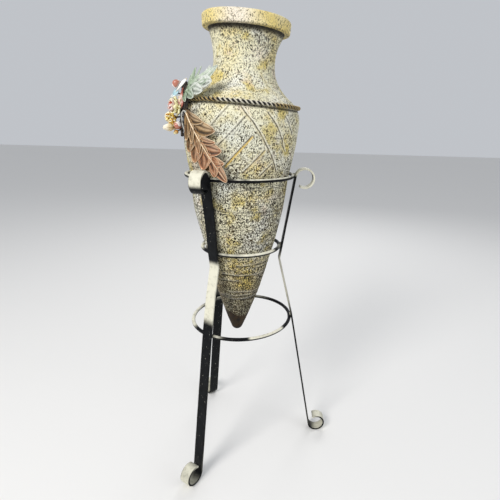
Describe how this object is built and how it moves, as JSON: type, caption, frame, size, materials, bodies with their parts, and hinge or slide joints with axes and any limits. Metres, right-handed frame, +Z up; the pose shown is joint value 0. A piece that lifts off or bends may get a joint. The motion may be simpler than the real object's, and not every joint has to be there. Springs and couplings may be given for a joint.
{
  "type": "amphora floor vase in stand",
  "caption": "Tall pointed floor vase with rope band and leaf spray, held upright by the hoops of a three-legged flat-iron stand with scrolled ends.",
  "frame": {"origin": "on the floor, at the middle of the whole object's footprint box", "axes": "+Z up, +X towards the right leg, -Y towards the front leg; the spray is on the -X side"},
  "size_m": [0.3661, 0.378, 0.9936],
  "materials": {
    "black_iron": "satin black paint rubbed to cream at scrolls and knee",
    "rubbed_iron": "black paint with cream rubbed stretches",
    "mottled_stoneware": "matt, pitted, cream-grey with ochre and pink patches",
    "bronzed_rope": "aged bronze with cream highlights",
    "wire": "dull silver-grey wire",
    "dark_twig": "dark brown-black",
    "verdigris_leaf": "pale green verdigris, frosted white tips",
    "copper_leaf": "satin copper with pale gold ridges",
    "berry_paint": "gloss enamel, white swirled with red",
    "pale_petal": "gloss enamel, pale yellow to white and pink",
    "red_petal": "gloss enamel, red to pink",
    "white_petal": "gloss white enamel",
    "blue_petal": "gloss light blue enamel",
    "yellow_petal": "gloss yellow enamel, darker in the hollows"
  },
  "bodies": {
    "stand": {"leg_right": "black_iron", "leg_front": "black_iron", "leg_rear": "black_iron", "hoop_top": "rubbed_iron", "hoop_middle": "rubbed_iron", "hoop_bottom": "rubbed_iron", "welds_top": "black_iron", "welds_middle": "black_iron", "welds_bottom": "black_iron"},
    "vase": {"vase_body": "mottled_stoneware", "rope_band": "bronzed_rope", "rope_tie": "wire", "twig": "dark_twig", "leaf_green": "verdigris_leaf", "leaf_copper": "copper_leaf", "leaf_copper_stem": "wire", "berry_upper": "berry_paint", "berry_lower": "berry_paint", "blossom_pale": "pale_petal", "blossom_eye": "red_petal", "petal_white": "white_petal", "petal_blue": "blue_petal", "petals_red": "red_petal", "cluster_yellow": "yellow_petal", "bud_cream": "pale_petal", "bud_yellow": "yellow_petal"}
  },
  "joints": [
    {"name": "vase_lift", "type": "slide", "parent": "stand", "child": "vase", "axis": [0, 0, 1], "range_m": [0, 0.42]}
  ]
}
